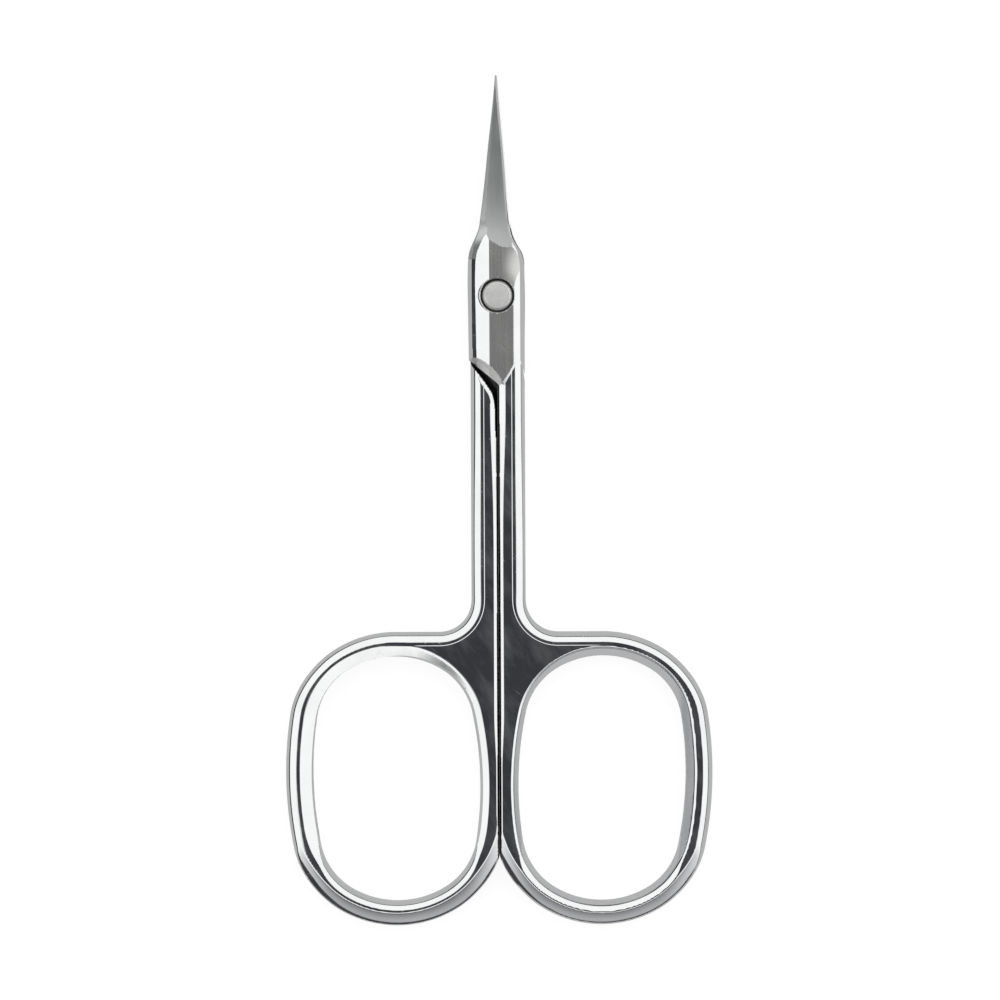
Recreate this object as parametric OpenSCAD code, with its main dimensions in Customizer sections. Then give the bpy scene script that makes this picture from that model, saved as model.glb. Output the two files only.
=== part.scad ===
// Cuticle scissors: two forged halves that cross at a shouldered pivot screw.
// Lying flat and closed: the origin is on the pivot axis at table height,
// +Y runs to the tips, +X to the right and +Z up out of the screw head.
// The front half carries the right finger bow, the back half the left one.

/* [Overall] */
// Pivot axis to the tips
tip_reach = 23.3; // [18:0.1:30]
// Pivot axis to the far end of the finger bows
handle_reach = 66.65; // [54:0.1:82]

/* [Joint] */
// Thickness of each half where they cross, which is half that of a finger bow
plate_t = 1.7; // [1.4:0.05:2.2]
// Pivot axis to the long straight side of each half's plate
plate_w = 2.87; // [2.6:0.01:3.4]
// How much farther the front plate reaches than the back one on its spine side
front_overhang = 0.25; // [0:0.01:0.4]
// Gap between the faces that slide on each other
face_gap = 0.04; // [0.02:0.01:0.1]
// Pivot axis down to the shoulder, where it leaves the plate's side
shoulder_start = 6.6; // [6:0.1:8]
// Pivot axis down to the point of the shoulder
shoulder_end = 9.5; // [8.8:0.1:11]
// Gap between a plate's shoulder and the step of the other half
shoulder_gap = 0.12; // [0.05:0.01:0.3]
// Width of the flat facet on the outside of each plate
facet_w = 2.55; // [2:0.05:3.2]

/* [Pivot screw] */
// Diameter of the screw's head
head_d = 3.2; // [2.8:0.1:3.6]
// Thickness of the screw's head
head_h = 0.75; // [0.5:0.05:1]
// Chamfer round the head's rim
head_chamfer = 0.25; // [0.1:0.05:0.4]
// Radial gap between the head and its recess
recess_gap = 0.2; // [0.1:0.05:0.3]
// Diameter of the smooth shoulder that the front half turns on
shoulder_d = 2.2; // [1.8:0.1:2.6]
// Diameter of the end that is screwed into the back half and peened flush
thread_d = 1.7; // [1.4:0.1:2]
// Radial running gap at the shoulder
run_gap = 0.03; // [0.01:0.01:0.08]

/* [Blades] */
// Width of a blade from the closing line to its spine, at the root, front half
front_blade_w = 1.8; // [1.4:0.05:2.2]
// The same on the back half
back_blade_w = 1.4; // [1.2:0.05:2]
// How far the cutting edge lies past the closing line at the root
edge_lap = 1.22; // [0.9:0.02:1.4]
// Half width of the needle tip
tip_w = 0.15; // [0.1:0.01:0.25]
// Blade thickness at the root
blade_root_t = 1.3; // [1:0.05:1.6]
// Blade thickness at the tip
blade_tip_t = 0.32; // [0.2:0.02:0.5]
// Thickness left along the cutting edge
edge_t = 0.1; // [0.06:0.02:0.2]
// Pivot axis to the root of the straight part of the blade
root_reach = 7.4; // [6.8:0.1:8.4]
// Radius of the blades' upward sweep
sweep_r = 80; // [60:1:160]

/* [Shanks] */
// Width of a shank
shank_w = 2.85; // [2.4:0.05:3]
// Thickness of a shank
shank_t = 3.2; // [2.6:0.05:3.4]
// Rounding of a shank's edges
shank_round = 1.05; // [0.6:0.05:1.15]
// Gap between the halves along the closing line
closing_gap = 0.15; // [0.1:0.01:0.3]
// Inside radius of the curve from the shank out to the bow
fork_r = 3.4; // [2.8:0.1:4.4]
// How far the outside of the fork's straight run lies below the top of the bow
fork_drop = 0.25; // [0.15:0.01:0.4]
// Thickness of the flat web in the fork
web_t = 2.9; // [1.8:0.1:3.1]

/* [Finger bows] */
// Width of the finger opening
opening_w = 17.7; // [14:0.1:22]
// Length of the finger opening
opening_l = 25.9; // [21:0.1:32]
// Width of the bow's bar
bow_w = 2.75; // [2.2:0.05:3.2]
// Width of the bow's bar at the closing line, where it is ground flat
bow_inner_w = 1.9; // [1.4:0.05:2.1]
// Radius of the opening's corners
corner_r = 7.2; // [5:0.1:8]
// How far the opening's sides bulge past its corners
side_bulge = 0.5; // [0.2:0.05:0.8]
// How far the opening's ends bulge past its corners
end_bulge = 0.33; // [0.2:0.01:0.8]
// Lean of the bow away from the shank
bow_lean = 1.5; // [0:0.1:3]

/* [Hidden] */
$fn = 24;

mid_z = plate_t;
bow_t = 2 * plate_t;
inner_x = closing_gap / 2;
recess_d = head_d + 2 * recess_gap;
bore_d = shoulder_d + 2 * run_gap;
// The recess leaves the head's face level with the plate's facet
recess_depth = head_h + face_gap / 2;
// The screw's shoulder stands this far out of the back half
shoulder_h = plate_t - head_h;
facet_left = -0.83;
facet_right = facet_left + facet_w;
// Larger than the part, for solids that only cut
far = 200;

// Cove that runs out below the shoulder: its radius and the crest line it climbs to
cove_r = 2;
crest_gap = 0.3;
crest_fall = 2.9;

// Where the blade's flare begins and ends, and where the blades start to sweep up
flare_base = root_reach - 3.8;
edge_flare = root_reach - 0.4;
sweep_start = root_reach - 1;
// How far the blade and the plate reach into each other
root_bury = 0.3;
// Length over which the edge is ground thin
edge_run = 4;
edge_base_share = 0.55;
// Half width of the cutting edge's end at the tip
edge_tip_w = 0.03;
// The ridge between spine bevel and main bevel, as a share of the blade's width
ridge_share = 0.2;
// The upright part of the spine, as a share of the blade's thickness
spine_share = 0.6;

// Finger bow: centre of the opening, its corner arcs and its long side and end arcs
bow_x = inner_x + bow_inner_w + opening_w / 2;
bow_y = -(handle_reach - bow_w - opening_l / 2);
half_w = opening_w / 2;
half_l = opening_l / 2;
corner_x = half_w - side_bulge - corner_r;
corner_y = half_l - end_bulge - corner_r;
// Radius of an arc that passes a distance u beyond the corner's centre and is tangent to both corners
function long_r(u, v) = (u * u + v * v - corner_r * corner_r) / (2 * (u - corner_r));
side_r = long_r(half_w - corner_x, corner_y);
end_r = long_r(half_l - corner_y, corner_x);
side_angle = atan2(corner_y, corner_x - (half_w - side_r));
end_angle = 90 - atan2(corner_y - (half_l - end_r), corner_x);

// Shank's middle line and the centre of the turn from the shank to the bow
shank_x = inner_x + shank_w / 2;
fork_x = inner_x + shank_w + fork_r;
fork_y = bow_y + opening_l / 2 + bow_w - fork_drop + fork_r;
// The straight run is narrow enough to end inside the bow's bar
run_bury = 0.1;
run_w = bow_w - fork_drop - run_bury;

steel = [0.80, 0.81, 0.83];
bright_steel = [0.72, 0.73, 0.74];

function mix(a, b, t) = a + (b - a) * t;
function smooth(t) = let (c = min(1, max(0, t))) c * c * (3 - 2 * c);

// Height of the sliding face above the joint's mid plane, at a distance from the axis.
// It depends on that distance alone, so the blades slide at any opening.
function sweep(r) = r < sweep_start ? 0 : pow(r - sweep_start, 2) / (2 * sweep_r);

// How far along the blade a station is: 0 at the root, 1 at the tip
function along(y) = (y - root_reach) / (tip_reach - root_reach);

// Half width on one side of the closing line, with the flare into the plate
function side_w(y, root_w, end_w, full_w, flare) =
    mix(mix(root_w, end_w, along(y)), full_w, smooth((flare - y) / (flare - flare_base)));

// One cross-section of the blade, seen from the tips: sliding face, spine, ridge and edge
function blade_section(y, spine_w, spine_full, up) =
    let (
        xs = -side_w(y, spine_w, tip_w, spine_full, root_reach),
        xe = side_w(y, edge_lap, edge_tip_w, plate_w, edge_flare),
        base_t = plate_t - face_gap,
        flare = smooth((y - flare_base) / (root_reach - flare_base)),
        t = y < root_reach ? mix(base_t, blade_root_t, flare) : mix(blade_root_t, blade_tip_t, along(y)),
        te = mix(edge_base_share * t, edge_t, smooth((y - flare_base) / edge_run)),
        ridge = mix(xs, xe, ridge_share),
        zs = face_gap / 2 + up * sweep(norm([xs, y])),
        ze = face_gap / 2 + up * sweep(norm([xe, y])),
        zr = mix(zs, ze, ridge_share)
    )
    [[xs, y, zs], [xs, y, zs + spine_share * t], [ridge, y, zr + t], [xe, y, ze + te], [xe, y, ze]];

// Stations along the blade, closer together in the flare
blade_stations = concat(
    [for (i = [0:6]) mix(flare_base, root_reach, i / 6)],
    [for (i = [1:9]) mix(root_reach, tip_reach, i / 9)]
);

module blade(spine_w, spine_full, up) {
    sections = [for (y = blade_stations) blade_section(y, spine_w, spine_full, up)];
    n = len(sections[0]);
    last = len(blade_stations) - 1;
    points = [for (section = sections) each section];
    sides = [
        for (i = [0:last - 1], j = [0:n - 1])
            let (a = i * n + j, b = i * n + (j + 1) % n)
            each [[a, a + n, b], [b, a + n, b + n]]
    ];
    root_cap = [for (j = [1:n - 2]) [0, j, j + 1]];
    tip = last * n;
    tip_cap = [for (j = [1:n - 2]) [tip, tip + j + 1, tip + j]];
    polyhedron(points, concat(sides, root_cap, tip_cap));
}

// Plate outline in plan, down to the V of its shoulder
module plate_outline(spine_full) {
    polygon([
        [-spine_full, flare_base + root_bury],
        [-spine_full, -shoulder_start],
        [inner_x, -shoulder_end],
        [plate_w, -shoulder_end],
        [plate_w, flare_base + root_bury]
    ]);
}

// The plate's bevels as [distance in from its side, share of its thickness]
spine_bevels = [[0, 0.45], [0.25, 0.65], [0.8, 0.86]];
edge_bevels = [[0.63, 0.9], [0.23, 0.7], [0, 0.4]];

// The plate's section, with a flat facet and a bevelled spine and edge
module plate_section(spine_full) {
    bottom = face_gap / 2;
    polygon(concat(
        [[-spine_full, bottom]],
        [for (p = spine_bevels) [p[0] - spine_full, p[1] * plate_t]],
        [[facet_left, plate_t], [facet_right, plate_t]],
        [for (p = edge_bevels) [plate_w - p[0], p[1] * plate_t]],
        [[plate_w, bottom]]
    ));
}

module plate(spine_full) {
    intersection() {
        linear_extrude(bow_t) plate_outline(spine_full);
        translate([0, flare_base + root_bury, 0])
            rotate([90, 0, 0])
            linear_extrude(far) plate_section(spine_full);
    }
}

// Rounded bar section, centred, from exact squares and circles
module bar_section(w, h, r) {
    square([w - 2 * r, h], center = true);
    square([w, h - 2 * r], center = true);
    for (sx = [-1, 1], sy = [-1, 1])
        translate([sx * (w / 2 - r), sy * (h / 2 - r)]) circle(r);
}

// Straight bar beside the closing line
module shank() {
    translate([shank_x, -shoulder_start, 0])
        rotate([90, 0, 0])
        linear_extrude(-shoulder_start - fork_y) bar_section(shank_w, shank_t, shank_round);
}

// Quarter turn outwards from the shank and a straight run into the bow
module fork() {
    translate([fork_x, fork_y, 0])
        rotate([0, 0, 180])
        rotate_extrude(angle = 90)
        translate([fork_r + shank_w / 2, 0])
        bar_section(shank_w, shank_t, shank_round);
    translate([fork_x, fork_y - fork_r - run_w / 2, 0])
        rotate([90, 0, 90])
        linear_extrude(bow_x - fork_x) bar_section(run_w, shank_t, shank_round);
}

// Finger bow: a closed bar swept along eight arcs that meet without a corner.
// Each arc is [centre x, centre y, radius of the opening, start angle, turn, steps].
corner_turn = 90 - side_angle - end_angle;
half_arcs = [
    [half_w - side_r, 0, side_r, -side_angle, 2 * side_angle, 4],
    [corner_x, corner_y, corner_r, side_angle, corner_turn, 6],
    [0, half_l - end_r, end_r, 90 - end_angle, 2 * end_angle, 6],
    [-corner_x, corner_y, corner_r, 90 + end_angle, corner_turn, 6]
];
bow_arcs = concat(half_arcs, [for (a = half_arcs) [-a[0], -a[1], a[2], a[3] + 180, a[4], a[5]]]);

// Outline of the bow's bar as [outwards, up], round at its corners with a narrow flat between
bow_flat = 0.3;
bow_round = (bow_w - bow_flat) / 2;
bow_outline = [
    for (corner = [0:3], i = [0:3])
        let (
            a = 90 * corner + 30 * i,
            side = corner == 0 || corner == 3 ? 1 : -1,
            top = corner < 2 ? 1 : -1
        )
        [
            side * (bow_w / 2 - bow_round) + bow_round * cos(a),
            top * (bow_t / 2 - bow_round) + bow_round * sin(a)
        ]
];

module bow() {
    stations = [for (a = bow_arcs, i = [0:a[5] - 1]) [a[0], a[1], a[2], a[3] + a[4] * i / a[5]]];
    n = len(bow_outline);
    count = len(stations);
    points = [
        for (s = stations, p = bow_outline)
            let (r = s[2] + bow_w / 2 + p.x)
            [s[0] + r * cos(s[3]), s[1] + r * sin(s[3]), p.y]
    ];
    faces = [
        for (i = [0:count - 1], j = [0:n - 1])
            let (a = i * n + j, b = i * n + (j + 1) % n, c = ((i + 1) % count) * n)
            each [[a, b, c + j], [b, c + (j + 1) % n, c + j]]
    ];
    translate([bow_x, bow_y, 0]) rotate([0, 0, -bow_lean]) polyhedron(points, faces);
}

// Point on the middle of the bow's bar, in the upper corner beside the shank
function bow_middle(a) =
    let (
        r = corner_r + bow_w / 2,
        x = -corner_x + r * cos(a),
        y = corner_y + r * sin(a)
    )
    [
        bow_x + x * cos(bow_lean) + y * sin(bow_lean),
        bow_y - x * sin(bow_lean) + y * cos(bow_lean)
    ];

// Flat web that fills the fork between the shank, the turn and the bow
module web() {
    steps = 10;
    bury_up = 1;
    bury_down = 2;
    turn_r = fork_r + shank_w / 2;
    translate([0, 0, -web_t / 2])
        linear_extrude(web_t)
        polygon(concat(
            [[inner_x, fork_y + bury_up], [shank_x, fork_y + bury_up]],
            [for (i = [0:steps]) [fork_x, fork_y] + turn_r * [cos(180 + 90 * i / steps), sin(180 + 90 * i / steps)]],
            [for (i = [0:steps]) bow_middle(mix(90 + end_angle, 180 - side_angle, i / steps))],
            [[inner_x, bow_y + corner_y - bury_down]]
        ));
}

// Space that the other half's plate sweeps, with the cove that runs out below its shoulder
module other_plate_room(other_full) {
    top = face_gap / 2;
    start = -shoulder_start - shoulder_gap;
    end = -shoulder_end - shoulder_gap;
    translate([0, 0, top - far])
        linear_extrude(far)
        polygon([
            [-far, end],
            [-inner_x, end],
            [other_full, start],
            [far, start],
            [far, far],
            [-far, far]
        ]);
    // The cove is a cylinder that touches the sliding plane and climbs to the crest line
    crest_top = [shank_w, start - crest_gap];
    crest_end = [inner_x, end - crest_fall];
    run = crest_top - crest_end;
    reach = sqrt(pow(cove_r, 2) - pow(cove_r - shank_t / 2, 2));
    overrun = 4 * cove_r;
    translate([crest_end.x, crest_end.y, -cove_r])
        rotate([0, 0, atan2(run.y, run.x)])
        translate([-overrun, reach, 0])
        rotate([0, 90, 0])
        cylinder(h = norm(run) + overrun, r = cove_r);
}

module handle(other_full) {
    difference() {
        union() {
            shank();
            fork();
            bow();
            web();
        }
        translate([inner_x - far, -far / 2, -far / 2]) cube(far);
        other_plate_room(other_full);
    }
}

// One half about the joint's mid plane, with its plate above that plane
module half(blade_w, spine_full, other_full, up) {
    plate(spine_full);
    blade(blade_w, spine_full, up);
    handle(other_full);
}

module front_half() {
    color(steel)
        translate([0, 0, mid_z])
        difference() {
            half(front_blade_w, plate_w + front_overhang, plate_w, 1);
            cylinder(h = far, d = bore_d, center = true);
            translate([0, 0, plate_t - recess_depth]) cylinder(h = far, d = recess_d);
        }
}

module back_half() {
    color(steel)
        translate([0, 0, mid_z])
        difference() {
            rotate([0, 180, 0]) half(back_blade_w, plate_w, plate_w + front_overhang, -1);
            cylinder(h = far, d = thread_d, center = true);
        }
}

// Shouldered screw: threaded end flush with the back, head level with the front facet
module pivot_screw() {
    color(bright_steel)
        rotate_extrude()
        polygon([
            [0, 0],
            [thread_d / 2, 0],
            [thread_d / 2, mid_z - face_gap / 2],
            [shoulder_d / 2, mid_z - face_gap / 2],
            [shoulder_d / 2, mid_z + shoulder_h],
            [head_d / 2, mid_z + shoulder_h],
            [head_d / 2, mid_z + plate_t - head_chamfer],
            [head_d / 2 - head_chamfer, mid_z + plate_t],
            [0, mid_z + plate_t]
        ]);
}

front_half();
back_half();
pivot_screw();
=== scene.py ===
import functools
import math

import bpy
import numpy as np
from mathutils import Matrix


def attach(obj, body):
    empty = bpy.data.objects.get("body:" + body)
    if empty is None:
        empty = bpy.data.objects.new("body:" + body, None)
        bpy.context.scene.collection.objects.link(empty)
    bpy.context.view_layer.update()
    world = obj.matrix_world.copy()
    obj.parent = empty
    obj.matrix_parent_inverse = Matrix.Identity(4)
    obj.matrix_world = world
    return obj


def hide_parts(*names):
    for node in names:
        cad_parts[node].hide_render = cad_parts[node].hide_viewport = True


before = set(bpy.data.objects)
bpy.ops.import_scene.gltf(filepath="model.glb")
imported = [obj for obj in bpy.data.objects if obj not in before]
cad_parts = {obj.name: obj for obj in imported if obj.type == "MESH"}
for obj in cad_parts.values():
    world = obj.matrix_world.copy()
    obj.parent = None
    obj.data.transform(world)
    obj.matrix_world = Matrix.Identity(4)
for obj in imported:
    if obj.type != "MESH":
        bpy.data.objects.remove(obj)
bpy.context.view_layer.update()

MM = 0.001

# Camera
LENS = 100.0
SENSOR = 36.0
VIEW_WIDTH = 105.95
VIEW_CENTRE = (0.191, -21.56)
VIEW_ROLL = -0.0044

# Joint and plates
MID_Z = 1.7
PLATE_TOP = 1.7
SLIDE_Z = 0.02
PLATE_RIGHT = 2.87
FACET_LEFT = -0.85
FACET_RIGHT = 1.72
FACET_FALL = 0.213
RECESS_R = 1.8
RECESS_DEPTH = 0.77
RIM_CHAMFER = 0.07
SHOULDER_GAP = 0.12

# Edges of plate and blade: heights above the sliding face, widths, and falls for each mm across
RIGHT_FALL, BLADE_RIGHT_W = 0.364, 0.3
ROUND_FALL = 0.05
EDGE_H, BLADE_EDGE_H = 0.806, 0.1
EDGE_BEVEL_W, BLADE_BEVEL_W = 0.47, 0.24
EDGE_DROP = 0.25
SLIDE_CHAMFER = 0.11
FACET_RING_R = 1.93
FACET_RING_RISE = 2.0
FACET_RING_DROP = 0.02

# Two faces along the spine, in shares of the ridge's height, on the plate and on the blade
SPINE_W, SPINE_H, SPINE_RISE = 0.4, 0.615, 0.494
SIDE_H, SIDE_RISE = 0.21, 1.02
BLADE_SIDE_H, BLADE_SIDE_RISE = 0.55, 4.0
BLADE_CROWN_W, BLADE_CROWN_FALL = 0.45, 0.09

# Ridge of the blade: where it starts to fall, and how
RIDGE_START = 6.05
RIDGE_DROP, RIDGE_RUN = 0.15, 3.2
BLADE_SLOPE = 0.06
FLARE_SLOPE = 0.129
SLANT, SLANT_X = 0.62, -1.1

# Spans in y over which plate turns into blade: its edges, the faces of its spine and its round right side
BLADE_SPAN = (3.0, 8.0)
SPINE_SPAN = (4.7, 8.0)
ROUND_SPAN = (0.0, 3.5)

# Lower end of the plate. Each line has its y at x = 0, its slope and its bend: the lower edge of the
# shoulder on the left, the upper edge of the bevel on it, and the right side of the V, which starts at V_X
SHOULDER_LINE = (-9.27, -0.83, -0.2)
SHOULDER_BEND_X = -0.4
BEVEL_LINE = (-8.311, -1.316, -0.2413)
BEVEL_FALL, BEVEL_RIGHT = 0.36, 0.8
RIGHT_LINE = (-9.5, 1.05, 0.3)
V_X, V_END = 0.2, -9.6

# Screw, from its peened end up
THREAD_R, SHOULDER_R, HEAD_R, HEAD_FLAT_R = 0.85, 1.1, 1.6, 1.33
SHOULDER_Z, HEAD_Z, CHAMFER_Z, HEAD_TOP = 1.68, 2.65, 3.15, 3.4
TURN_GAP = 0.03

# Blades: the sliding faces are swept up about the pivot
SWEEP_START = 6.4
SWEEP_R = 80.0
TIP_Y = 23.15

# Shanks, fork and bows
HANDLE_TOP = -4.0
CLOSING_X = 0.002
GROOVE = 0.055
SHANK_RIGHT = 2.865
SHANK_H = 1.6
BOW_H = 1.7
FORK_X, FORK_Y, FORK_R = 6.275, -32.1, 3.4
RUN_TOP = -35.5
BOW_X, BOW_Y = 10.89, -51.0
HALF_W, HALF_L = 8.87, 12.97
CORNER_R = 7.16
SIDE_BULGE = 0.5
END_BULGE = 0.33
LEAN = math.radians(1.5)
BAR_W = 2.8
BAR_END_W = 2.54
UNDER_R = 4.4
UNDER_TILT = math.radians(20)
UNDER_W = 1.5
EDGE_TILT = math.radians(60)

# Section of the bar at its neck below the plate, in the shank, in the bow and where the bows touch:
# how far in its rounds reach, and the power of its superellipse
NECK_POWER, SHANK_POWER = 2.6, 4.0
NECK_INNER, SHANK_INNER, TOUCH_INNER = 1.7, 1.0, 0.6
NECK_EDGE, SHANK_EDGE = 0.4, 0.07
NECK_OUTER, SHANK_OUTER = 1.38, 2.2
BOTTOM_REACH, SIDE_REACH = 1.3, 0.12
CREST_EDGE = 0.45
FIELD_SCALE = 1.3

# Bevels round the opening get narrower: the wide one toward the closing line, its edge away from it
BOTTOM_BEVEL_W = 0.5
BEVEL_NARROWING, BEVEL_NARROW_SPAN = 0.3, (2, 8)
EDGE_NARROWING, EDGE_NARROW_SPAN = 0.7, (-3, 4)

# Spans of change down the bar (in -y), and across and up the bow
SHANK_SPAN = (12, 27)
HEIGHT_SPAN = (29, 38)
BOW_SPAN = (31, 36)
TOUCH_SPAN = (44, 50)
CROWN_SPAN = (1.0, 2.2)
BEVEL_SPAN = (-11, -5)
END_SPAN = (7, 13)
LOW_SPAN = (1, 11)

# Oval of the finger opening: corner centre, and the long arcs of its sides and ends
CORNER_X = HALF_W - SIDE_BULGE - CORNER_R
CORNER_Y = HALF_L - END_BULGE - CORNER_R


def long_arc(u, v):
    """Radius of the arc that passes u beyond a corner's centre and is tangent to both corners."""
    return (u * u + v * v - CORNER_R**2) / (2 * (u - CORNER_R))


SIDE_R = long_arc(HALF_W - CORNER_X, CORNER_Y)
END_R = long_arc(HALF_L - CORNER_Y, CORNER_X)
SIDE_ANGLE = math.atan2(CORNER_Y, CORNER_X - (HALF_W - SIDE_R))
END_ANGLE = math.atan2(CORNER_X, CORNER_Y - (HALF_L - END_R))


def mix(a, b, t):
    return a + (b - a) * t


def ramp(low, high, v):
    """0 below low, 1 above high, and smooth between."""
    t = np.clip((v - low) / (high - low), 0, 1)
    return t * t * (3 - 2 * t)


def soft_max(a, b, k):
    """The larger of two fields, rounded where they meet."""
    h = np.clip(0.5 + 0.5 * (a - b) / k, 0, 1)
    return b + (a - b) * h + k * h * (1 - h)


def curve(points):
    """A smooth function through points given as (place, value)."""
    at, value = np.array(sorted(points)).T
    slope = np.gradient(value, at)

    def read(v):
        v = np.clip(v, at[0], at[-1])
        i = np.clip(np.searchsorted(at, v, side="right") - 1, 0, len(at) - 2)
        span = at[i + 1] - at[i]
        t = (v - at[i]) / span
        rise = t * t * (3 - 2 * t)
        lift = span * t * (1 - t)
        return mix(value[i], value[i + 1], rise) + lift * ((1 - t) * slope[i] - t * slope[i + 1])

    return read


# Outline of each blade and its flare, from the plate to the tip, as (y, x)
EDGE = curve([(3.0, 2.87), (3.8, 2.76), (4.66, 2.5), (5.5, 2.0), (6.4, 1.54), (7.2, 1.35),
              (9.75, 1.06), (13.1, 0.85), (18.2, 0.43), (20.8, 0.2), (23.3, 0.02)])
FRONT_SPINE = curve([(-8.0, -3.02), (-2.0, -3.1), (2.8, -3.12), (3.8, -3.08), (4.66, -2.95),
                     (5.5, -2.64), (6.4, -2.22), (7.2, -1.93), (8.05, -1.8), (11.4, -1.38),
                     (15.7, -0.93), (20.8, -0.36), (23.3, -0.14)])
BACK_SPINE = curve([(-8.0, -2.85), (2.8, -2.87), (3.8, -2.84), (4.66, -2.62), (5.5, -2.12),
                    (6.4, -1.7), (7.2, -1.49), (8.05, -1.38), (11.4, -1.08), (15.7, -0.78),
                    (20.8, -0.33), (23.3, -0.13)])

# Crest between the cove and the other half's shank, as (y, x) in that half's frame
CREST = curve([(-16.0, 0.2), (-13.0, 0.3), (-11.34, 0.36), (-10.36, 0.6), (-9.4, 1.2), (-7.81, 2.41),
               (-7.2, 2.95), (-6.5, 3.6)])
COVE_W = 0.8
COVE_DEPTH = 1.62
COVE_END = -15.0


class Half:
    """What differs between the two halves, each in a frame with its own bow at +X and its plate up."""

    def __init__(self, spine, bore_r, recess, bevel_tilt, bevel_w, edge_w, power, outer_reach, up):
        self.spine = spine
        self.bore_r = bore_r
        self.recess = recess
        self.bevel_tilt = bevel_tilt
        self.bevel_w = bevel_w
        self.edge_w = edge_w
        self.power = power
        self.outer_reach = outer_reach
        self.up = up


FRONT = Half(FRONT_SPINE, SHOULDER_R + TURN_GAP, recess=True, bevel_tilt=math.radians(50), bevel_w=0.9,
             edge_w=0.0, power=2.1, outer_reach=1.2, up=1)
BACK = Half(BACK_SPINE, THREAD_R, recess=False, bevel_tilt=math.radians(16), bevel_w=1.28,
            edge_w=0.39, power=3.0, outer_reach=1.65, up=-1)


def opening(x, y):
    """Distance out of the finger opening, and how far up its middle line a point is."""
    u = (x - BOW_X) * math.cos(LEAN) - (y - BOW_Y) * math.sin(LEAN)
    v = (x - BOW_X) * math.sin(LEAN) + (y - BOW_Y) * math.cos(LEAN)
    au, av = np.abs(u), np.abs(v)
    side_u = au - (HALF_W - SIDE_R)
    end_v = av - (HALF_L - END_R)
    side = np.hypot(side_u, av) - SIDE_R
    end = np.hypot(au, end_v) - END_R
    corner = np.hypot(au - CORNER_X, av - CORNER_Y) - CORNER_R
    far = np.where(np.arctan2(au, end_v) < END_ANGLE, end, corner)
    return np.where(np.arctan2(av, side_u) < SIDE_ANGLE, side, far), v


def outline(x, y, hole, up_bow):
    """Distance into the metal from the outer outline of shank, fork and bow.

    The fork's outline ends where it has run into the bow's ring, so it fades down and to the right there.
    """
    rim = mix(BAR_W, BAR_END_W, ramp(*END_SPAN, np.abs(up_bow))) - hole
    turn = np.hypot(x - FORK_X, y - FORK_Y) - FORK_R
    below = np.where(x < FORK_X, turn, RUN_TOP - y)
    fork = np.where(y < FORK_Y, below, SHANK_RIGHT - x)
    fork = np.minimum(fork, 0.35 * (y + 58))
    fork = fork - 2 * np.maximum(x - BOW_X, 0)
    return np.maximum(rim, fork)


def bar_field(x, y, z, half, hole, rim, height, bevel):
    """A bar with the section of a superellipse, which reaches in from rim, hole and closing line."""
    down_shank = ramp(*SHANK_SPAN, -y)
    in_bow = ramp(*BOW_SPAN, -y)
    power = mix(mix(NECK_POWER, SHANK_POWER, down_shank), half.power, in_bow * ramp(*CROWN_SPAN, x))
    inner_reach = mix(mix(NECK_INNER, SHANK_INNER, down_shank), TOUCH_INNER, ramp(*TOUCH_SPAN, -y))
    inner_edge = mix(NECK_EDGE, SHANK_EDGE, down_shank)
    hole_reach = mix(BOTTOM_REACH, SIDE_REACH, bevel)
    outer_reach = mix(mix(NECK_OUTER, SHANK_OUTER, down_shank), half.outer_reach, in_bow)
    from_crest = (x - CREST(y)) * 0.8 + CREST_EDGE
    inner = np.where(z < SLIDE_Z, np.minimum(x, from_crest), x)
    outside = np.maximum(1 - rim / outer_reach, 1 - (inner + inner_edge) / inner_reach)
    away = np.maximum(np.maximum(outside, 1 - hole / hole_reach), 0)
    return ((away**power + (np.abs(z) / height) ** power) ** (1 / power) - 1) * FIELD_SCALE


def bevel_field(above, beyond, tilt):
    """A flat bevel, from how far a point is above the bar's top and beyond the line where it starts."""
    return above * math.cos(tilt) + beyond * math.sin(tilt)


def handle_field(x, y, z, half):
    """Shank, fork and bow: the bar, bevelled round the finger opening and cut at the closing line."""
    hole, up_bow = opening(x, y)
    rim = outline(x, y, hole, up_bow)
    height = mix(SHANK_H, BOW_H, ramp(*HEIGHT_SPAN, -y))
    bevel = ramp(*BEVEL_SPAN, up_bow)
    body = bar_field(x, y, z, half, hole, rim, height, bevel)
    above = np.abs(z) - height
    narrow = 1 - BEVEL_NARROWING * ramp(*BEVEL_NARROW_SPAN, BOW_X - x)
    bevel_w = mix(BOTTOM_BEVEL_W, half.bevel_w * narrow, bevel)
    tilt = half.bevel_tilt
    body = soft_max(body, bevel_field(above, bevel_w - hole, tilt), 0.2 * math.sin(tilt))
    edge_w = half.edge_w * bevel * (1 - EDGE_NARROWING * ramp(*EDGE_NARROW_SPAN, x - BOW_X))
    body = np.maximum(body, bevel_field(above, edge_w - hole, EDGE_TILT))
    outward = UNDER_W * ramp(*LOW_SPAN, -up_bow) + UNDER_R * math.sin(UNDER_TILT) - rim
    under = np.hypot(np.maximum(outward, 0), above + UNDER_R * math.cos(UNDER_TILT)) - UNDER_R
    body = soft_max(body, under, 0.05)
    return soft_max(body, CLOSING_X + GROOVE * z * z - x, 0.05)


def shoulder_y(x):
    """The lower edge of a plate's shoulder, which bends down at the point of the V."""
    x = np.clip(x, -3.1, 0.3)
    place, slope, bend = SHOULDER_LINE
    return place + slope * x + bend * np.maximum(x - SHOULDER_BEND_X, 0) ** 2


def bevel_y(x):
    """The upper edge of the bevel that is ground along the shoulder."""
    x = np.clip(x, -3.1, BEVEL_RIGHT)
    place, slope, bend = BEVEL_LINE
    return place + slope * x + bend * x * x


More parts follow.
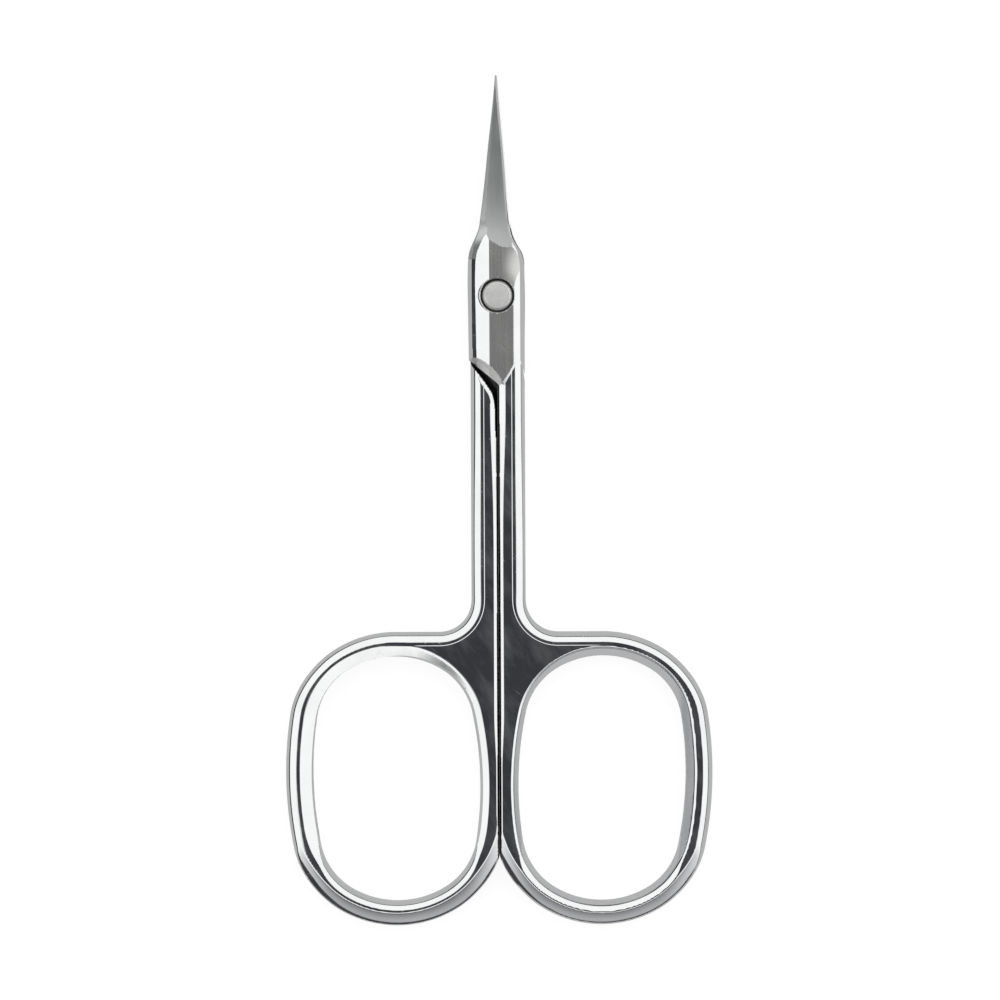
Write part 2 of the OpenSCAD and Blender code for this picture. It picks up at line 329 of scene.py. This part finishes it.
def room_field(x, y, z):
    """Space for the other half's plate, and the cove that runs out below its shoulder."""
    wall = (shoulder_y(-x) - SHOULDER_GAP - y) * 0.72
    room = np.maximum(z - SLIDE_Z, wall)
    reach = (CREST(y) - x) * 0.8
    cove = np.hypot((reach - COVE_W) / COVE_W, (z + COVE_DEPTH) / (COVE_DEPTH + SLIDE_Z)) - 1
    block = np.maximum(z - SLIDE_Z, COVE_W - reach)
    cove = np.maximum(np.minimum(cove * COVE_W, block), COVE_END - y)
    return np.minimum(room, cove)


def thickness(y):
    """Height of a blade's ridge above its sliding face."""
    v = y - RIDGE_START
    drop = RIDGE_DROP * (1 - np.exp(-np.maximum(v, 0) / RIDGE_RUN))
    return PLATE_TOP - np.where(v > 0, drop + BLADE_SLOPE * v, FLARE_SLOPE * v)


def spine_faces(y, from_spine, ridge):
    """Tops of the two faces along the spine: steep facets on the plate, a crown and a wall on the blade."""
    part = ramp(*SPINE_SPAN, y)
    crown = ridge - BLADE_CROWN_FALL * (BLADE_CROWN_W - from_spine)
    top = mix(ridge * (SPINE_H + SPINE_RISE * (from_spine - SPINE_W)), crown, part)
    side = ridge * mix(SIDE_H + SIDE_RISE * from_spine, BLADE_SIDE_H + BLADE_SIDE_RISE * from_spine, part)
    return top, side


def plate_faces(x, y, z, half):
    """Every face of plate and blade as a field, by name, scaled to be about a distance."""
    r = np.hypot(x, y)
    from_spine, from_edge = x - half.spine(y), EDGE(y) - x
    ridge = np.minimum(thickness(y), PLATE_TOP)
    blade_part = ramp(*BLADE_SPAN, y)
    facet = PLATE_TOP + FACET_FALL * (x - FACET_LEFT)
    facet = np.maximum(facet, PLATE_TOP - FACET_RING_DROP - FACET_RING_RISE * (r - FACET_RING_R))
    spine_top, spine_side = spine_faces(y, from_spine, ridge)
    right_w = mix(PLATE_RIGHT - FACET_RIGHT, BLADE_RIGHT_W, blade_part)
    right = ridge - RIGHT_FALL * (right_w - from_edge)
    round_right = PLATE_TOP - ROUND_FALL * np.maximum(x, 0) ** 2 * ramp(*ROUND_SPAN, y) * (1 - blade_part)
    edge_h = mix(EDGE_H, BLADE_EDGE_H, blade_part)
    edge_w = mix(EDGE_BEVEL_W, BLADE_BEVEL_W, blade_part)
    edge_rise = (ridge - EDGE_DROP * (1 - blade_part) - edge_h) / edge_w
    shoulder, bevel_top = shoulder_y(x), bevel_y(x)
    plate_top = np.minimum(np.minimum(spine_top, facet), PLATE_TOP)
    bevel = plate_top - BEVEL_FALL * (bevel_top - y) / (bevel_top - shoulder)
    place, slope, bend = RIGHT_LINE
    right_end = place + slope * (x - V_X) + bend * (x - V_X) ** 2
    return {
        "flat": z - PLATE_TOP + 0 * x,
        "blade": (z - thickness(y + SLANT * (x - SLANT_X))) * 0.99,
        "facet": (z - facet) * 0.98,
        "spine_top": (z - spine_top) * 0.77,
        "spine_side": (z - spine_side) * 0.5,
        "right": (z - right) * 0.94,
        "round_right": (z - round_right) * 0.98,
        "edge_bevel": (z - edge_h - edge_rise * from_edge) / np.hypot(1, edge_rise),
        "spine_wall": -from_spine * 0.97,
        "edge_wall": -from_edge * 0.97,
        "slide": SLIDE_Z - z + 0 * x,
        "slide_edge": (SLIDE_Z + SLIDE_CHAMFER - z - 0.7 * from_spine - 2 * (1 - blade_part)) * 0.82,
        "tip": y - TIP_Y,
        "shoulder": np.where(x < V_X, (shoulder - y) * 0.72, -1.0),
        "shoulder_bevel": np.where(x < BEVEL_RIGHT, (z - bevel) * 0.8, -1.0),
        "run_out": ((right_end - y) * 0.55 + (z - PLATE_TOP) * 2.2) * 0.42,
        "end": V_END - y,
    }


def half_field(x, y, z, half):
    """Field of one half: negative in the metal."""
    plate = functools.reduce(np.maximum, plate_faces(x, y, z, half).values())
    handle = np.maximum(handle_field(x, y, z, half), y - HANDLE_TOP)
    handle = np.maximum(handle, -room_field(x, y, z))
    field = np.minimum(plate, handle)
    r = np.hypot(x, y)
    field = np.maximum(field, half.bore_r - r)
    if half.recess:
        floor = PLATE_TOP - RECESS_DEPTH
        recess = np.maximum(r - RECESS_R, floor - z)
        chamfer = (r - RECESS_R - RIM_CHAMFER + PLATE_TOP - z) * 0.707
        recess = np.minimum(recess, np.maximum(chamfer, floor - z))
        field = np.maximum(field, -recess)
    return field


def gradient(field, points):
    """Unit normals of a field at points."""
    step = 0.004
    out = np.zeros_like(points)
    for axis in range(3):
        ahead, behind = points.copy(), points.copy()
        ahead[:, axis] += step
        behind[:, axis] -= step
        out[:, axis] = field(*ahead.T) - field(*behind.T)
    return out / np.maximum(np.linalg.norm(out, axis=1, keepdims=True), 1e-12)


def crossings(field, lines, grid, axis):
    """Grid edges along one axis that the surface crosses: their low ends, points and senses."""
    low, high = [slice(None)] * 3, [slice(None)] * 3
    low[axis], high[axis] = slice(None, -1), slice(1, None)
    inside = grid < 0
    index = np.argwhere(inside[tuple(low)] != inside[tuple(high)])
    start = np.stack([lines[k][index[:, k]] for k in range(3)], 1)
    end = start.copy()
    end[:, axis] = lines[axis][index[:, axis] + 1]
    outward = inside[tuple(index.T)]
    a, b = np.where(outward[:, None], start, end), np.where(outward[:, None], end, start)
    for _ in range(7):
        middle = (a + b) / 2
        within = (field(*middle.T) < 0)[:, None]
        a, b = np.where(within, middle, a), np.where(within, b, middle)
    return index, (a + b) / 2, outward


def place_vertices(cells, points, normals, shape, lines, field):
    """One vertex for each cell that the surface crosses, where the tangent planes of its crossings meet."""
    ids = np.ravel_multi_index(cells.T, shape)
    found, which = np.unique(ids, return_inverse=True)
    count = np.bincount(which)

    def total(values):
        return np.bincount(which, values)

    mean = np.stack([total(points[:, k]) for k in range(3)], 1) / count[:, None]
    offset = np.einsum("ij,ij->i", normals, points - mean[which])
    square = np.empty((len(found), 3, 3))
    right = np.empty((len(found), 3))
    for i in range(3):
        right[:, i] = total(normals[:, i] * offset)
        for j in range(3):
            square[:, i, j] = total(normals[:, i] * normals[:, j])
    size, turn = np.linalg.eigh(square)
    keep = size > 0.06 * size[:, -1:]
    inverse = np.where(keep, 1 / np.where(keep, size, 1), 0)
    move = np.einsum("nij,nj->ni", turn, inverse * np.einsum("nji,nj->ni", turn, right))
    index = np.stack(np.unravel_index(found, shape), 1)
    low = np.stack([lines[k][index[:, k]] for k in range(3)], 1)
    high = np.stack([lines[k][index[:, k] + 1] for k in range(3)], 1)
    vertices = np.clip(mean + move, low, high)
    slopes = gradient(field, vertices)
    for _ in range(2):
        step = np.clip(field(*vertices.T), -0.02, 0.02)[:, None] * slopes
        vertices = np.clip(vertices - step, low, high)
    return vertices, found


def contour(field, lines):
    """Closed quad mesh of field = 0 by dual contouring on a grid, with sharp edges kept."""
    xs, ys, zs = lines
    grid = np.broadcast_to(field(xs[:, None, None], ys[None, :, None], zs[None, None, :]),
                           (len(xs), len(ys), len(zs)))
    shape = tuple(n - 1 for n in grid.shape)
    cells, points, quads = [], [], []
    for axis in range(3):
        index, crossing, outward = crossings(field, lines, grid, axis)
        across = [k for k in range(3) if k != axis]
        corner = []
        for du, dv in ((0, 0), (1, 0), (1, 1), (0, 1)):
            cell = index.copy()
            cell[:, across[0]] -= du
            cell[:, across[1]] -= dv
            corner.append(cell)
            cells.append(cell)
            points.append(crossing)
        ring = np.stack([np.ravel_multi_index(c.T, shape) for c in corner], 1)
        flip = outward if axis == 1 else ~outward
        ring[flip] = ring[flip, ::-1]
        quads.append(ring)
    cells, points = np.concatenate(cells), np.concatenate(points)
    normals = gradient(field, points)
    vertices, found = place_vertices(cells, points, normals, shape, lines, field)
    return vertices, np.searchsorted(found, np.concatenate(quads))


def corner_normals(field, vertices, quads):
    """Normals at each face's corners, read inside the face so that sharp edges stay sharp."""
    corners = vertices[quads]
    centre = corners.mean(1, keepdims=True)
    first, second = 0.25, 0.6
    near = gradient(field, mix(corners, centre, first).reshape(-1, 3))
    deep = gradient(field, mix(corners, centre, second).reshape(-1, 3))
    smooth = np.einsum("ij,ij->i", near, deep)[:, None] > 0.93
    normals = np.where(smooth, near + (near - deep) * first / (second - first), near)
    return normals / np.linalg.norm(normals, axis=1, keepdims=True)


def sweep(r):
    """Rise of the sliding face at a distance from the pivot, and its slope."""
    out = np.maximum(r - SWEEP_START, 0)
    return out**2 / (2 * SWEEP_R), out / SWEEP_R


def steps(*stops):
    """Grid lines: (start, step) pairs, and a last stop."""
    parts = []
    for (start, step), (end, _) in zip(stops, stops[1:]):
        parts.append(np.linspace(start, end, max(2, round((end - start) / step) + 1))[:-1])
    parts.append(np.array([stops[-1][0]]))
    return np.concatenate(parts)


# Finishes, in the order of the material slots; the last is painted shade, a dark steel put where shade falls
MIRROR, SATIN, BRUSHED, GROUND, PAINTED_SHADE = range(5)

# Line ground along fork and shank: where it falls, from the outline in, and how far
CREASE = (1.34, 1.44)
CREASE_DEPTH = 0.016

# How close the middle of a face lies to the surface that it belongs to
CLOSE = 0.03


def finishes(points, half):
    """Which finish each face has, from the part of the surface that it belongs to; faces in the cove, in the
    gap along the closing line, below the shoulder and in the screw's recess get the dark steel of painted
    shade.
    """
    x, y, z = points.T
    faces = plate_faces(x, y, z, half)
    names = list(faces)
    fields = np.stack([faces[name] for name in names])
    nearest = fields.argmax(0)
    on_plate = np.abs(fields.max(0)) < CLOSE
    satin = [names.index(name) for name in ("flat", "round_right", "shoulder")]
    out = np.full(len(points), MIRROR)
    out[on_plate & np.isin(nearest, satin)] = SATIN
    out[on_plate & (nearest == names.index("shoulder_bevel"))] = GROUND
    spine = [names.index(name) for name in ("spine_top", "spine_side")]
    brushed = (nearest == names.index("blade")) | (np.isin(nearest, spine) & (y > 3.9))
    out[on_plate & brushed] = BRUSHED
    # Painted shade: the cove under the shoulder, the gap along the closing line and the sliding face below
    # the shoulder get a dark steel
    in_cove = (np.abs(room_field(x, y, z)) < CLOSE) & (y > COVE_END)
    in_gap = (x < V_X) & (y < -8)
    beyond_plate = on_plate & (nearest == names.index("slide")) & (y < shoulder_y(-x) + 0.15)
    # Painted shade: the wall of the recess round the screw head gets the dark steel
    if half.recess:
        out[(np.hypot(x, y) < RECESS_R + CLOSE) & (z < PLATE_TOP - 0.12) & (z > 0.5)] = PAINTED_SHADE
    out[beyond_plate | ~on_plate & (in_cove | in_gap)] = PAINTED_SHADE
    return out


def crease(x, y):
    """Distance from the outer outline for the faint line ground along fork and shank, and its strength."""
    hole, up_bow = opening(x, y)
    return {"outline_distance": outline(x, y, hole, up_bow),
            "crease_strength": (1 - ramp(9, 13, x)) * (1 - ramp(38, 46, -y))}


def half_mesh(name, half):
    """Mesh object of one half, turned over for the back half and swept up along its blade."""

    def field(x, y, z):
        return half_field(x, y, z, half)

    xs = steps((-3.45, 0.1), (-0.6, 0.05), (0.6, 0.1), (3.2, 0.2), (22.9, 0))
    ys = steps((-67.2, 0.2), (-13.0, 0.1), (8.0, 0.15), (23.6, 0))
    zs = steps((-1.83, 0.12), (-0.04, 0.04), (0.4, 0.12), (1.83, 0))
    vertices, quads = contour(field, (xs, ys, zs))
    normals = corner_normals(field, vertices, quads)
    finish = finishes(vertices[quads].mean(1), half)
    x, y, z = vertices.T
    r = np.hypot(x, y)
    rise, slope = sweep(r)
    rise, slope = np.where(y > 0, rise, 0) * half.up, np.where(y > 0, slope, 0) * half.up
    corner = quads.ravel()
    safe_r = np.maximum(r, 1)
    normals[:, 0] -= normals[:, 2] * (slope * x / safe_r)[corner]
    normals[:, 1] -= normals[:, 2] * (slope * y / safe_r)[corner]
    vertices = np.stack([x * half.up, y, (z + rise) * half.up + MID_Z], 1)
    normals[:, 0] *= half.up
    normals[:, 2] *= half.up
    mesh = bpy.data.meshes.new(name)
    mesh.from_pydata((vertices * MM).tolist(), [], quads.tolist())
    mesh.polygons.foreach_set("material_index", finish.astype(np.int32))
    for attribute, values in crease(x, y).items():
        mesh.attributes.new(attribute, "FLOAT", "POINT").data.foreach_set("value", values.astype(np.float32))
    mesh.shade_smooth()
    mesh.normals_split_custom_set(normals.tolist())
    obj = bpy.data.objects.new(name, mesh)
    bpy.context.scene.collection.objects.link(obj)
    return obj


def lathe(name, profile, segments=96):
    """Closed mesh turned about the pivot axis from (radius, z) points that start and end on the axis."""
    rings = profile[1:-1]
    vertices = [(0, 0, profile[0][1])]
    for radius, z in rings:
        for k in range(segments):
            a = 2 * math.pi * k / segments
            vertices.append((radius * math.cos(a), radius * math.sin(a), z))
    vertices.append((0, 0, profile[-1][1]))
    faces = []
    for k in range(segments):
        n = (k + 1) % segments
        faces.append((0, 1 + n, 1 + k))
        for i in range(len(rings) - 1):
            a, b = 1 + i * segments, 1 + (i + 1) * segments
            faces.append((a + k, a + n, b + n, b + k))
        top = 1 + (len(rings) - 1) * segments
        faces.append((top + k, top + n, len(vertices) - 1))
    mesh = bpy.data.meshes.new(name)
    mesh.from_pydata([[c * MM for c in v] for v in vertices], [], faces)
    mesh.shade_smooth()
    mesh.set_sharp_from_angle(angle=math.radians(25))
    obj = bpy.data.objects.new(name, mesh)
    bpy.context.scene.collection.objects.link(obj)
    return obj


def rounded(corner, before, after, radius, count=4):
    """Points of a small round at a profile's corner, from the side of before to the side of after."""
    corner, before, after = (np.array(p, float) for p in (corner, before, after))
    start = corner + (before - corner) / np.linalg.norm(before - corner) * radius
    end = corner + (after - corner) / np.linalg.norm(after - corner) * radius
    ts = np.linspace(0, 1, count + 1)[:, None]
    return [tuple(p) for p in (1 - ts) ** 2 * start + 2 * ts * (1 - ts) * corner + ts**2 * end]


def pivot_screw():
    """Screw with a flat head, chamfered and rounded at its rim, level with the front plate."""
    corners = [(0, 0.0), (THREAD_R, 0.0), (THREAD_R, SHOULDER_Z), (SHOULDER_R, SHOULDER_Z),
               (SHOULDER_R, HEAD_Z), (HEAD_R, HEAD_Z), (HEAD_R, CHAMFER_Z), (HEAD_FLAT_R, HEAD_TOP),
               (0, HEAD_TOP)]
    rounds = {1: 0.05, 5: 0.04, 6: 0.06, 7: 0.06}
    profile = []
    for i, corner in enumerate(corners):
        if i in rounds:
            profile += rounded(corner, corners[i - 1], corners[i + 1], rounds[i])
        else:
            profile.append(corner)
    return lathe("screw_steel_body", profile)


class Tree:
    """Node tree of a material or the world, with a short call for each kind of node."""

    def __init__(self, owner):
        owner.use_nodes = True
        self.nodes = owner.node_tree.nodes
        self.links = owner.node_tree.links

    def feed(self, socket, value):
        """Link an output to a socket, or set a value or a colour on it."""
        if isinstance(value, bpy.types.NodeSocket):
            self.links.new(value, socket)
        elif socket.type == "RGBA":
            socket.default_value = (*value, 1)
        else:
            socket.default_value = value

    def node(self, kind, inputs, **settings):
        node = self.nodes.new("ShaderNode" + kind)
        for key, value in settings.items():
            setattr(node, key, value)
        for key, value in inputs.items():
            self.feed(node.inputs[key], value)
        return node

    def maths(self, operation, *values):
        return self.node("Math", dict(enumerate(values)), operation=operation).outputs[0]

    def remap(self, source, low, high, to_low=0.0, to_high=1.0, kind="LINEAR"):
        inputs = {"Value": source, "From Min": low, "From Max": high, "To Min": to_low, "To Max": to_high}
        return self.node("MapRange", inputs, interpolation_type=kind).outputs["Result"]

    def rise(self, source, low, high):
        """0 below low, 1 above high, and smooth between."""
        return self.remap(source, low, high, kind="SMOOTHSTEP")

    def mix(self, factor, a, b):
        return self.node("Mix", {"Factor": factor, "A": a, "B": b}, data_type="RGBA").outputs["Result"]

    def place(self):
        return self.node("TexCoord", {}).outputs["Object"]

    def stretched(self, scale, angle):
        """Object coordinates stretched and turned, for brushing, smudges and scratches."""
        inputs = {"Vector": self.place(), "Scale": [1 / s for s in scale], "Rotation": (0, 0, angle)}
        return self.node("Mapping", inputs, vector_type="TEXTURE").outputs["Vector"]

    def noise(self, vector, scale, detail, rough=0.5):
        inputs = {"Vector": vector, "Scale": scale, "Detail": detail, "Roughness": rough}
        return self.node("TexNoise", inputs).outputs["Fac"]

    def attribute(self, name):
        return self.node("Attribute", {}, attribute_name=name).outputs["Fac"]

    def bump(self, height, distance, under=None):
        inputs = {"Height": height, "Distance": distance, "Strength": 1.0}
        if under is not None:
            inputs["Normal"] = under
        return self.node("Bump", inputs).outputs["Normal"]


def make_material(name, build):
    """Material whose principled shader gets the inputs that build returns by name."""
    material = bpy.data.materials.new(name)
    tree = Tree(material)
    shader = tree.nodes["Principled BSDF"]
    for key, value in build(tree).items():
        tree.feed(shader.inputs[key], value)
    return material


def steel(name, colour, dark, roughness, spread, brush, brush_depth, wave_depth, scratch, haze, turn=0.0,
          creased=False):
    """Steel with brushing along the tool, slow waves of hand polishing and scattered fine scratches."""

    def build(tree):
        grain = tree.noise(tree.stretched((brush, 40.0, brush), turn), 1.0, 3.0, 0.6)
        cloud = tree.noise(tree.place(), 260.0, 3.0)
        wave = tree.noise(tree.place(), 210.0, 0.0)
        lines = tree.noise(tree.stretched((5000.0, 420.0, 5000.0), 0.9), 1.0, 1.0)
        patch = tree.noise(tree.place(), 420.0, 1.0)
        marks = tree.maths("MULTIPLY", tree.remap(lines, 0.6, 0.76), tree.remap(patch, 0.52, 0.66))
        smudge = tree.noise(tree.stretched((500.0, 160.0, 500.0), 0.5), 1.0, 4.0, 0.65)
        plain = tree.remap(grain, 0.3, 0.7, roughness - spread, roughness + spread)
        normal = tree.bump(grain, brush_depth, tree.bump(wave, wave_depth))
        if creased:
            fall = tree.rise(tree.attribute("outline_distance"), *CREASE)
            fall = tree.maths("MULTIPLY", fall, tree.attribute("crease_strength"))
            normal = tree.bump(fall, CREASE_DEPTH * MM, normal)
        return {"Base Color": tree.mix(tree.remap(cloud, 0.35, 0.65), dark, colour),
                "Metallic": tree.remap(smudge, 0.45, 0.75, 1.0, 1.0 - haze),
                "Roughness": tree.maths("MULTIPLY_ADD", marks, scratch, plain),
                "Normal": normal}

    return make_material(name, build)


def painted_shade_steel(tree):
    """Painted shade: a dark steel put in the cove under the shoulder, in the gap along the closing line and
    in the screw's recess, where shade falls.
    """
    cloud = tree.noise(tree.place(), 1500.0, 4.0, 0.6)
    return {"Base Color": tree.mix(cloud, (0.05, 0.05, 0.052), (0.16, 0.16, 0.165)),
            "Metallic": 1.0,
            "Roughness": tree.remap(cloud, 0.3, 0.7, 0.28, 0.45),
            "Normal": tree.bump(cloud, 0.00001)}


def screw_steel(tree):
    """Turned steel: matte, with faint rings about the axis."""
    parts = tree.node("SeparateXYZ", {0: tree.place()})
    flat = tree.node("CombineXYZ", {"X": parts.outputs["X"], "Y": parts.outputs["Y"]})
    radius = tree.node("VectorMath", {0: flat.outputs[0]}, operation="LENGTH")
    around = tree.node("CombineXYZ", {"X": radius.outputs["Value"]})
    rings = tree.noise(around.outputs[0], 9000.0, 2.0)
    cloud = tree.noise(tree.place(), 1600.0, 4.0, 0.6)
    return {"Base Color": tree.mix(tree.remap(cloud, 0.3, 0.7), (0.66, 0.66, 0.66), (0.80, 0.80, 0.79)),
            "Metallic": 1.0,
            "Roughness": tree.remap(rings, 0.3, 0.7, 0.38, 0.5),
            "Normal": tree.bump(cloud, 0.00001, tree.bump(rings, 0.000012))}


def make_camera():
    data = bpy.data.cameras.new("camera")
    data.lens = LENS
    data.sensor_width = SENSOR
    data.clip_start = 0.001
    camera = bpy.data.objects.new("camera", data)
    height = VIEW_WIDTH * LENS / SENSOR
    camera.location = (VIEW_CENTRE[0] * MM, VIEW_CENTRE[1] * MM, (height + MID_Z) * MM)
    camera.rotation_euler = (0, 0, VIEW_ROLL)
    bpy.context.scene.collection.objects.link(camera)
    bpy.context.scene.camera = camera


def make_world():
    """Studio round the object: dark overhead, white from there down, and a dark line at the floor.

    Toward the front a dim wall with one white window takes the place of the white.
    Tilts are degrees from straight up.
    """
    world = bpy.data.worlds.new("studio")
    tree = Tree(world)
    tree.nodes.clear()
    parts = tree.node("SeparateXYZ", {0: tree.node("TexCoord", {}).outputs["Generated"]})
    x, y, z = parts.outputs
    tilt = tree.maths("MULTIPLY", tree.maths("ARCCOSINE", z), 180 / math.pi)
    square = tree.maths("ADD", tree.maths("MULTIPLY", x, x), tree.maths("MULTIPLY", y, y))
    level = tree.maths("MAXIMUM", tree.maths("SQRT", square), 0.001)
    front = tree.rise(tree.maths("MULTIPLY", tree.maths("DIVIDE", y, level), -1.0), 0.3, 0.85)
    left = tree.rise(tree.maths("MULTIPLY", tree.maths("DIVIDE", x, level), -1.0), 0.2, 0.9)
    white = (1.15, 1.15, 1.13)
    wall = tree.mix(tree.rise(tilt, 34.0, 80.0), (0.1, 0.1, 0.105), (0.5, 0.5, 0.51))
    window = tree.maths("MULTIPLY", tree.rise(tilt, 21.0, 24.0), tree.rise(tilt, 38.0, 35.0))
    sides = tree.mix(front, white, tree.mix(window, wall, white))
    colour = tree.mix(tree.rise(tilt, 13.5, 17.0), (0.046, 0.047, 0.052), sides)
    line = tree.rise(tree.maths("MULTIPLY_ADD", left, 10.0, tilt), 80.0, 82.5)
    colour = tree.mix(line, colour, (0.045, 0.045, 0.05))
    studio = tree.node("Background", {"Color": colour})
    backdrop = tree.node("Background", {"Color": (1, 1, 1)})
    path = tree.node("LightPath", {})
    shown = tree.node("MixShader", {0: path.outputs["Is Camera Ray"], 1: studio.outputs[0],
                                    2: backdrop.outputs[0]})
    tree.node("OutputWorld", {"Surface": shown.outputs[0]})
    bpy.context.scene.world = world


def make_floor():
    """Pale floor that looks white to the camera and pale in the steel, and keeps the object's shadow."""
    half = 1.5
    corners = [(-half, -half, 0), (half, -half, 0), (half, half, 0), (-half, half, 0)]
    mesh = bpy.data.meshes.new("floor")
    mesh.from_pydata(corners, [], [(0, 1, 2, 3)])
    floor = bpy.data.objects.new("floor", mesh)
    floor.location = (0, 0, -0.00002)
    bpy.context.scene.collection.objects.link(floor)
    material = bpy.data.materials.new("floor")
    tree = Tree(material)
    tree.nodes.clear()
    path = tree.node("LightPath", {})
    camera, glossy = path.outputs["Is Camera Ray"], path.outputs["Is Glossy Ray"]
    plain = tree.node("BsdfDiffuse", {"Color": (0.8, 0.8, 0.8)})
    shade = tree.node("BsdfDiffuse", {"Color": (0.22, 0.22, 0.22)})
    strength = tree.maths("MULTIPLY_ADD", camera, 0.5, 0.36)
    glow = tree.node("Emission", {"Color": (1, 1, 1), "Strength": strength})
    white = tree.node("AddShader", {0: shade.outputs[0], 1: glow.outputs[0]})
    shown = tree.node("MixShader", {0: tree.maths("MAXIMUM", camera, glossy), 1: plain.outputs[0],
                                    2: white.outputs[0]})
    tree.node("OutputMaterial", {"Surface": shown.outputs[0]})
    mesh.materials.append(material)


bpy.context.scene.view_settings.view_transform = "Standard"
make_camera()
make_world()
make_floor()

# In the order of the finishes; brush scales are for each metre, depths are in metres
STEELS = [
    steel("mirror_steel", (0.82, 0.825, 0.84), (0.78, 0.785, 0.80), roughness=0.07, spread=0.02,
          brush=1500.0, brush_depth=0.0000006, wave_depth=0.000004, scratch=0.2, haze=0.09, creased=True),
    # Satin and brushed steel have darker colours than the mirror steel: painted shade, which darkens the
    # plate's flat faces and the blade
    steel("satin_steel", (0.66, 0.66, 0.655), (0.6, 0.6, 0.595), roughness=0.275, spread=0.015,
          brush=5200.0, brush_depth=0.0000012, wave_depth=0.000004, scratch=0.05, haze=0.03),
    steel("brushed_steel", (0.51, 0.525, 0.525), (0.46, 0.475, 0.475), roughness=0.32, spread=0.03,
          brush=5200.0, brush_depth=0.0000025, wave_depth=0.000004, scratch=0.05, haze=0.03),
    steel("ground_steel", (0.8, 0.8, 0.8), (0.56, 0.56, 0.56), roughness=0.33, spread=0.1,
          brush=7000.0, brush_depth=0.000025, wave_depth=0.0, scratch=0.0, haze=0.03, turn=0.88),
    # Painted shade: dark steel for the cove, the gap and the screw's recess
    make_material("painted_shade_steel", painted_shade_steel),
]

for node, half, body in (("front_half", FRONT, "front"), ("back_half", BACK, "back")):
    piece = half_mesh(node + "_steel", half)
    for material in STEELS:
        piece.data.materials.append(material)
    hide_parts(node)
    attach(piece, body)

screw = pivot_screw()
screw.data.materials.append(make_material("screw_steel", screw_steel))
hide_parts("pivot_screw")
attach(screw, "back")
